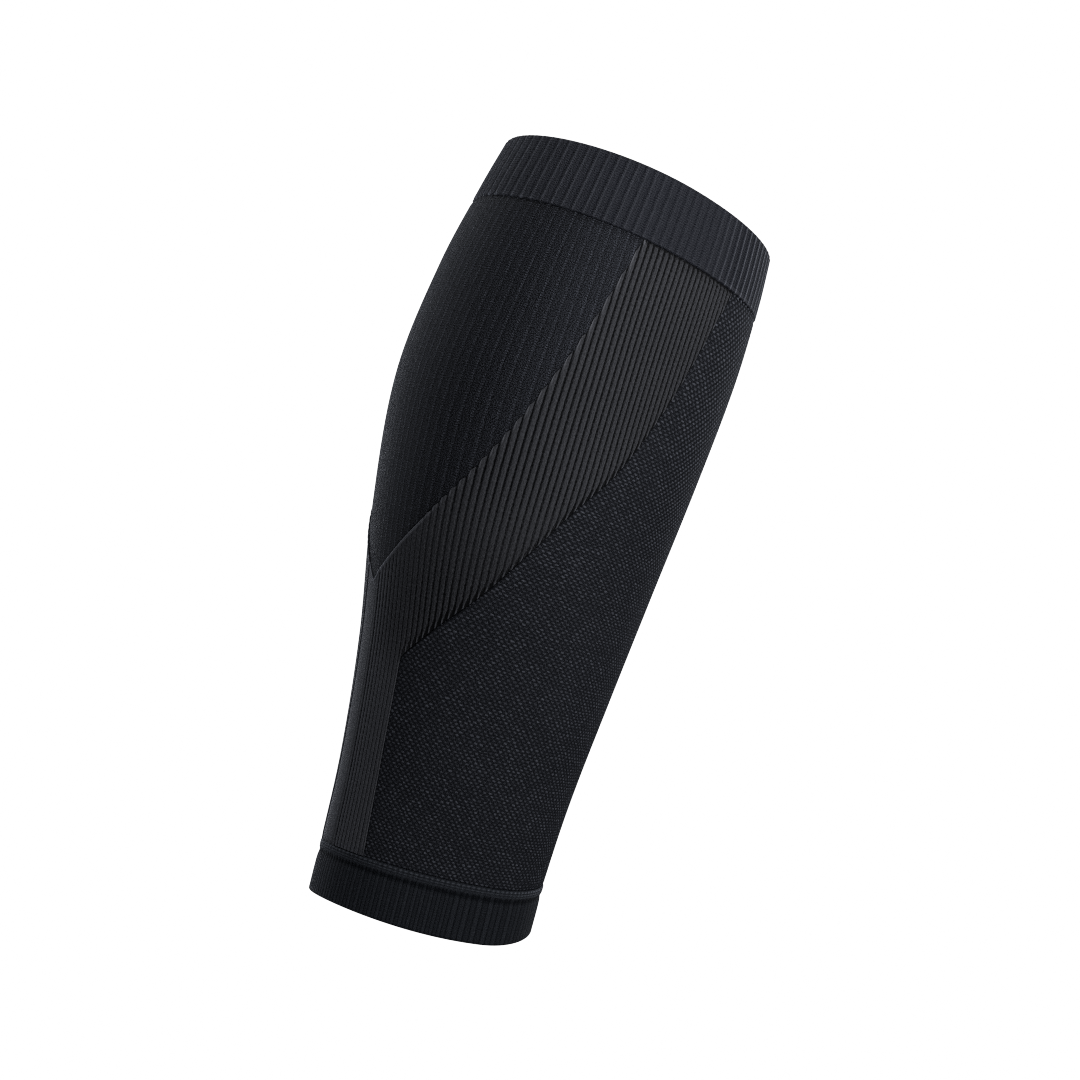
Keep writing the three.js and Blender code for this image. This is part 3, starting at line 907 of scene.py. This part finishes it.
meshLook = {
    "dotsRound": 128, "columnsPerDot": 4, "dotRise": 0.18, "between": -0.12,
    "insideColumns": 60, "insideEvery": 4,
    "rowSteps": np.array([  # height, distance from one row of dots to the next
        (-130, 1.13), (-115, 1.14), (-80, 1.27), (-40, 1.24), (0, 1.16), (30, 1.16), (60, 1.36), (100, 1.46),
        (123, 1.48),
    ]),
    "firstRow": 0.6, "lastRow": 0.3, "edgeGap": 0.0004,
    "ankleGirth": 300, "calfGain": 100, "calfFrom": (-130, 180),
    # painted shade along the edge next to the ribs, and under the top cuff
    "armEdge": (-4, 4), "edgeSink": 0.35, "sinkReach": 1.0, "edgeHighlightAndShade": -0.25, "edgeReach": 1.2,
    "seamPaintedShade": -0.15,
    # a painted highlight on the dots towards the shin and the top
    "paintedSparkle": 0.75, "sparkleMean": 0.48, "sparkleUp": (-10, 50), "sparkleShin": (0.31, 0.07),
    # painted shade towards the bottom
    "lowPaintedShade": -0.02, "lowFrom": (-55, -40),
    "pattern": {
        "waleDrift": (0.45, 0.3), "waleShift": 0.6, "courseDrift": (0.3, 0.22), "courseShift": 0.85,
        "lean": 0.2, "dotWidth": 0.4, "dotHeight": 0.42, "dotEdge": (0.06, 1.0), "netEdge": (0.03, 0.24),
        "base": 0.045, "net": 0.06, "dot": 0.23, "vary": 0.26, "bright": 0.36,
    },
    "yarn": {
        "dark": (0.011, 0.0119, 0.015), "light": (0.106, 0.113, 0.136), "fleckSize": (5.0, 3.0),
        "fleck": 0.32, "cloudSize": (0.06, 0.05), "cloud": 0.08, "fuzz": 0.4, "bumpDepth": 0.0004,
        "specular": 0.05, "sheen": 0.0,
    },
    "flat": (0.30, 0.253), "area": 0.0395,
}


# Heights of the rows of dots from seam to seam, and the course that each lies on.
def dotRows():
    look = meshLook
    rows = [bodyFoot + look["firstRow"]]
    while rows[-1] + readOff(look["rowSteps"], rows[-1]) < bodyTop - look["lastRow"]:
        rows.append(rows[-1] + readOff(look["rowSteps"], rows[-1]))
    before = look["firstRow"] / readOff(look["rowSteps"], bodyFoot)
    after = (bodyTop - rows[-1]) / readOff(look["rowSteps"], bodyTop)
    courses = 0.5 + np.concatenate([[-before], np.arange(len(rows)), [len(rows) - 1 + after]])
    return np.array([bodyFoot] + rows + [bodyTop]), courses


# The outer face on the lattice of its dots, cut off at the panel's edge: places, faces, ends of the rows.
def dotLattice(edge):
    lattice = meshLook["dotsRound"] * meshLook["columnsPerDot"]
    first = np.floor(edge * lattice).astype(int)
    last = lattice - first
    counts = last - first + 1
    left = np.cumsum(counts) - counts
    number = np.concatenate([np.arange(a, b + 1) for a, b in zip(first, last)])
    row = np.repeat(np.arange(len(edge)), counts)
    around = np.clip(number / lattice, edge[row], 1 - edge[row])

    def at(j, i):
        return left[j] + np.clip(i, first[j], last[j]) - first[j]

    i = np.arange(lattice)
    quads = np.concatenate([np.stack([at(j, i), at(j, i + 1), at(j + 1, i + 1), at(j + 1, i)], axis=1)
                            for j in range(len(edge) - 1)])
    flatLow, flatHigh = quads[:, 0] == quads[:, 1], quads[:, 2] == quads[:, 3]
    triangles = [quads[flatLow & ~flatHigh][:, [0, 2, 3]], quads[flatHigh & ~flatLow][:, [0, 1, 2]]]
    return around, row, quads[~flatLow & ~flatHigh], triangles, left, left + counts - 1


# Stand and tone of the mesh panel's face; the tone is painted light and shade.
def meshFace(around, height, course, edge):
    look = meshLook
    share = fromBack(around)
    shift = 0.5 * (np.floor(course) % 2)  # every second row is moved by half a dot
    bump = 0.5 - 0.5 * np.cos(2 * math.pi * (around * look["dotsRound"] + shift))
    girth = look["ankleGirth"] + look["calfGain"] * ramp(height, *look["calfFrom"])
    inset = (share - edge) * girth
    arm = ramp(height - crotch, *look["armEdge"])
    clear = ramp(inset, 0, look["sinkReach"])
    stand = (leg["bodyFace"] + look["between"] + look["dotRise"] * bump * clear - seamSink(around, height)
             - look["edgeSink"] * (1 - clear) * arm)
    # upper is where the dots get a painted highlight; the tone below is painted shade under the cuff, along
    # the edge and towards the bottom, with that highlight.
    upper = ramp(height, *look["sparkleUp"]) * ramp(share, *look["sparkleShin"])
    tone = (look["seamPaintedShade"] * seamShade(height)
            + look["edgeHighlightAndShade"] * hump(inset, 0, look["edgeReach"]) * arm
            + look["paintedSparkle"] * (bump - look["sparkleMean"]) * upper
            + look["lowPaintedShade"] * ramp(height, *look["lowFrom"]))
    return stand, tone


def makeMeshPanel():
    look = meshLook
    rows, courses = dotRows()
    edge = meshEdge(rows) + look["edgeGap"]
    around, row, quads, triangles, left, right = dotLattice(edge)
    stand, tone = meshFace(around, rows[row], courses[row], edge[row])

    # The plain inside has fewer points.
    insideRows = np.unique(np.concatenate([rows[::look["insideEvery"]], rows[-1:]]))
    insideEdge = meshEdge(insideRows)[:, None] + look["edgeGap"]
    t = np.linspace(0, 1, look["insideColumns"] + 1)
    insideAround = insideEdge * (1 - t) + (1 - insideEdge) * t
    insideHeight = np.repeat(insideRows[:, None], len(t), axis=1)
    inside = len(around) + np.arange(insideAround.size).reshape(insideAround.shape)

    bottom, top = np.arange(left[0], right[0] + 1), np.arange(left[-1], right[-1] + 1)
    sides = [
        zipEdges(bottom, inside[0], around[bottom], insideAround[0]),
        zipEdges(right, inside[:, -1], rows, insideRows),
        zipEdges(top[::-1], inside[-1, ::-1], -around[top[::-1]], -insideAround[-1, ::-1]),
        zipEdges(left[::-1], inside[::-1, 0], -rows[::-1], -insideRows[::-1]),
    ]
    allAround = np.concatenate([around, insideAround.ravel()])
    allHeight = np.concatenate([rows[row], insideHeight.ravel()])
    allStand = np.concatenate([stand, np.full(insideAround.size, leg["bodyInside"])])
    points = faceAt(allAround, allHeight, allStand)
    faces = [np.concatenate([quads, gridQuads(inside)]), np.concatenate(triangles + sides)]
    return makePiece("meshPanel", points, faces, allAround * look["dotsRound"],
                     np.interp(allHeight, rows, courses), np.concatenate([tone, np.zeros(insideAround.size)]))


# Light dots on a fine net, neither of them quite even.
def meshPattern(thread, knit, wale, course, look):
    wale = wale + (flecks(thread, knit, look["waleDrift"]) - 0.5) * look["waleShift"]
    course = course + (flecks(thread, knit, look["courseDrift"]) - 0.5) * look["courseShift"]
    shifted = wale + (course.floor() % 2.0) * 0.5
    across = shifted.fraction() - 0.5
    up = (course.fraction() - 0.5) + across * look["lean"]
    across, up = across / look["dotWidth"], up / look["dotHeight"]
    dot = 1 - (across * across + up * up).rise(*look["dotEdge"])
    rising, falling = ((wale + course * way + shift).fraction() for way, shift in ((0.5, 0.75), (-0.5, 0.25)))
    net = 2 - abs(rising - 0.5).rise(*look["netEdge"]) - abs(falling - 0.5).rise(*look["netEdge"])
    chance = chanceAt(thread, shifted.floor(), course.floor())
    light = look["dot"] + chance * look["vary"] + chance * chance * chance * look["bright"]
    return look["base"] + net * look["net"] + dot * light, dot


pieces = {  # node in model.glb: settings, mesh, knit pattern
    "top_cuff": (topCuffLook, makeTopCuff, topCuffPattern),
    "calf_panel": (calfLook, makeCalfPanel, calfPattern),
    "rib_band": (ribLook, makeRibBand, ribPattern),
    "mesh_panel": (meshLook, makeMeshPanel, meshPattern),
    "bottom_cuff": (bottomCuffLook, makeBottomCuff, bottomCuffPattern),
}
for slotName, (look, make, pattern) in pieces.items():
    piece = make()
    piece.data.materials.append(knitFinish(slotName.replace("_", " ") + " knit", look, pattern))
    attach(piece, "root")
    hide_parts(slotName)
print("knit finishes on", ", ".join(pieces))

view = {
    "angles": (-116, -3.1, 17.6),  # azimuth, elevation and roll in degrees
    "distance": 1.0, "aim": Vector((0, -0.00804, 0.00622)), "lens": 82.27, "sensor": 36,
}
azimuth, elevation, roll = map(math.radians, view["angles"])
# The picture's own directions: towards the camera, right and up.
back = Vector((math.sin(azimuth) * math.cos(elevation), -math.cos(azimuth) * math.cos(elevation),
               math.sin(elevation)))
right = Vector((0, 0, 1)).cross(back).normalized()
up = back.cross(right)
right, up = right * math.cos(roll) + up * math.sin(roll), up * math.cos(roll) - right * math.sin(roll)


def facing(place, toward, upright):
    z = (place - toward).normalized()
    x = upright.cross(z).normalized()
    y = z.cross(x)
    turned = Matrix((x, y, z)).transposed().to_4x4()
    turned.translation = place
    return turned


cameraData = bpy.data.cameras.new("camera")
cameraData.lens, cameraData.sensor_width, cameraData.sensor_fit = view["lens"], view["sensor"], "HORIZONTAL"
scene.camera = addObject("camera", cameraData)
scene.camera.matrix_world = facing(view["aim"] + back * view["distance"], view["aim"], up)

lampLook = {"front": (1, 1, 1), "behind": (0.88, 0.92, 1), "upright": Vector((0.01, 0.02, 1))}
lamps = [  # name, place in metres right of, above and before the aim in the picture, size, watts
    ("key", (0.30, 0.45, 0.35), 0.3, 1.95),
    ("rightKey", (0.45, 0.26, 0.30), 0.25, 0.6),
    ("low", (0.0, -0.71, 0.71), 0.5, 3.9),
    ("leftTop", (-0.61, 0.61, -0.5), 0.5, 2.2),
    ("leftRim", (-0.87, 0.0, -0.5), 0.5, 2.3),
    ("leftBack", (-0.5, 0.0, -0.87), 0.4, 2.4),
    ("topBack", (-0.35, 0.61, -0.71), 0.4, 1.0),
    ("rightBack", (0.5, 0.0, -0.87), 0.4, 1.4),
    ("rightLow", (0.66, -0.66, 0.34), 0.5, 0.45),
    ("rightNear", (0.34, 0.17, -0.32), 0.25, 0.5),
    ("farSide", (0.05, 0.25, -1.0), 0.6, 2.0),
]
for name, (x, y, z), size, watts in lamps:
    lamp = bpy.data.lights.new(name, "AREA")
    lamp.shape, lamp.size, lamp.energy = "DISK", size, watts
    lamp.color = lampLook["behind"] if z < 0 else lampLook["front"]
    place = view["aim"] + right * x + up * y + back * z
    addObject(name, lamp).matrix_world = facing(place, view["aim"], lampLook["upright"])

worldLook = {"glow": 0.02, "seenGlow": 0.98}  # light on the sleeve, and what the camera sees besides
world = bpy.data.worlds.new("studio")
scene.world = world
world.use_nodes = True
world.node_tree.nodes.clear()
air = Thread(world.node_tree)
seen = air.add("LightPath", None, None, "Is Camera Ray")
air.add("OutputWorld", None, {"Surface": air.add("Background", None, {
    "Color": (1, 1, 1, 1), "Strength": worldLook["glow"] + seen * worldLook["seenGlow"]})})
scene.view_settings.view_transform = "Standard"
scene.cycles.use_denoising = False  # the grain of the yarn stays
scene.cycles.filter_width = 0.95

floorLook = {"height": -0.40, "radius": 0.5, "sides": 96, "colour": (0.82, 0.82, 0.83, 1), "rough": 0.9}
floorRim = []
for k in range(floorLook["sides"]):
    corner = 2 * math.pi * k / floorLook["sides"]
    floorRim.append((floorLook["radius"] * math.cos(corner), floorLook["radius"] * math.sin(corner),
                     floorLook["height"]))
floorMesh = bpy.data.meshes.new("floor")
floorMesh.from_pydata(floorRim, [], [tuple(range(floorLook["sides"]))])
floor = addObject("floor", floorMesh)
floorPaint = bpy.data.materials.new("pale floor")
floorPaint.use_nodes = True
floorShader = floorPaint.node_tree.nodes["Principled BSDF"]
floorShader.inputs["Base Color"].default_value = floorLook["colour"]
floorShader.inputs["Roughness"].default_value = floorLook["rough"]
floorMesh.materials.append(floorPaint)
print("camera, lamps and floor ready")
